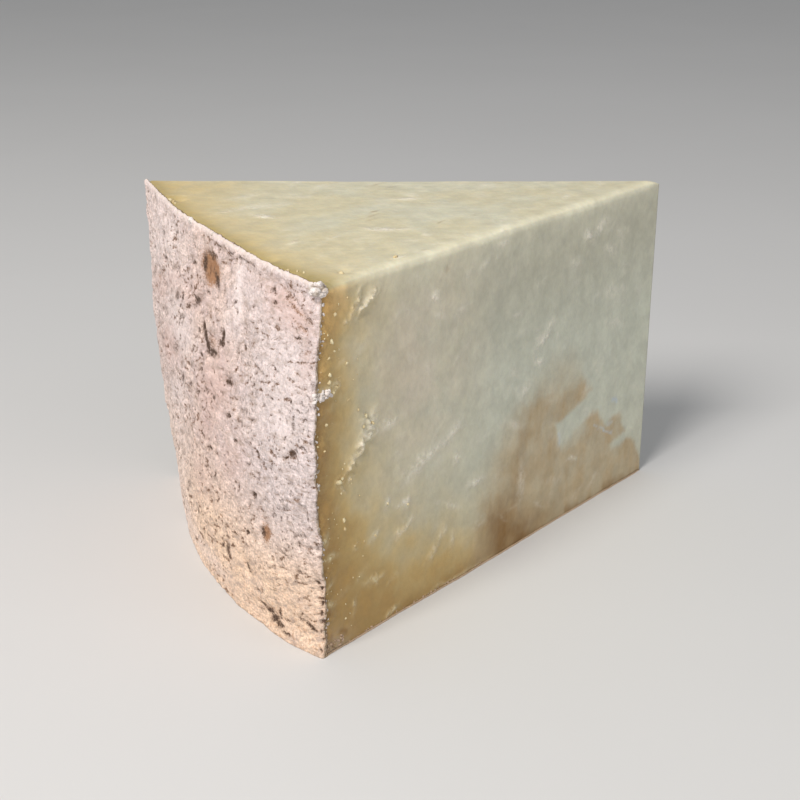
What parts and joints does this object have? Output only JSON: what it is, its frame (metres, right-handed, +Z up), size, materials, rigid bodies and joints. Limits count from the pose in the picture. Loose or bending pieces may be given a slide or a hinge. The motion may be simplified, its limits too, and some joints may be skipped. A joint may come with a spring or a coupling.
{
  "type": "cheddar chunk",
  "caption": "Wedge cut from a clothbound cheddar wheel: pale mottled rind on the curved wall and underside, two smooth cut faces and a cut top",
  "frame": {"origin": "under the middle of the wedge, on the surface it lies on", "axes": "+Z up, +X towards the wedge's pointed end, -X towards the curved rind, -Y the cut face shown in the picture"},
  "size_m": [0.1667, 0.1408, 0.109],
  "materials": {
    "paste": "pale ochre cheese paste, soft greasy sheen, darker towards the rind",
    "rind": "mottled pinkish white cloth rind, matt and pitted"
  },
  "bodies": {
    "root": {"cheddar_chunk": "paste"}
  },
  "joints": []
}
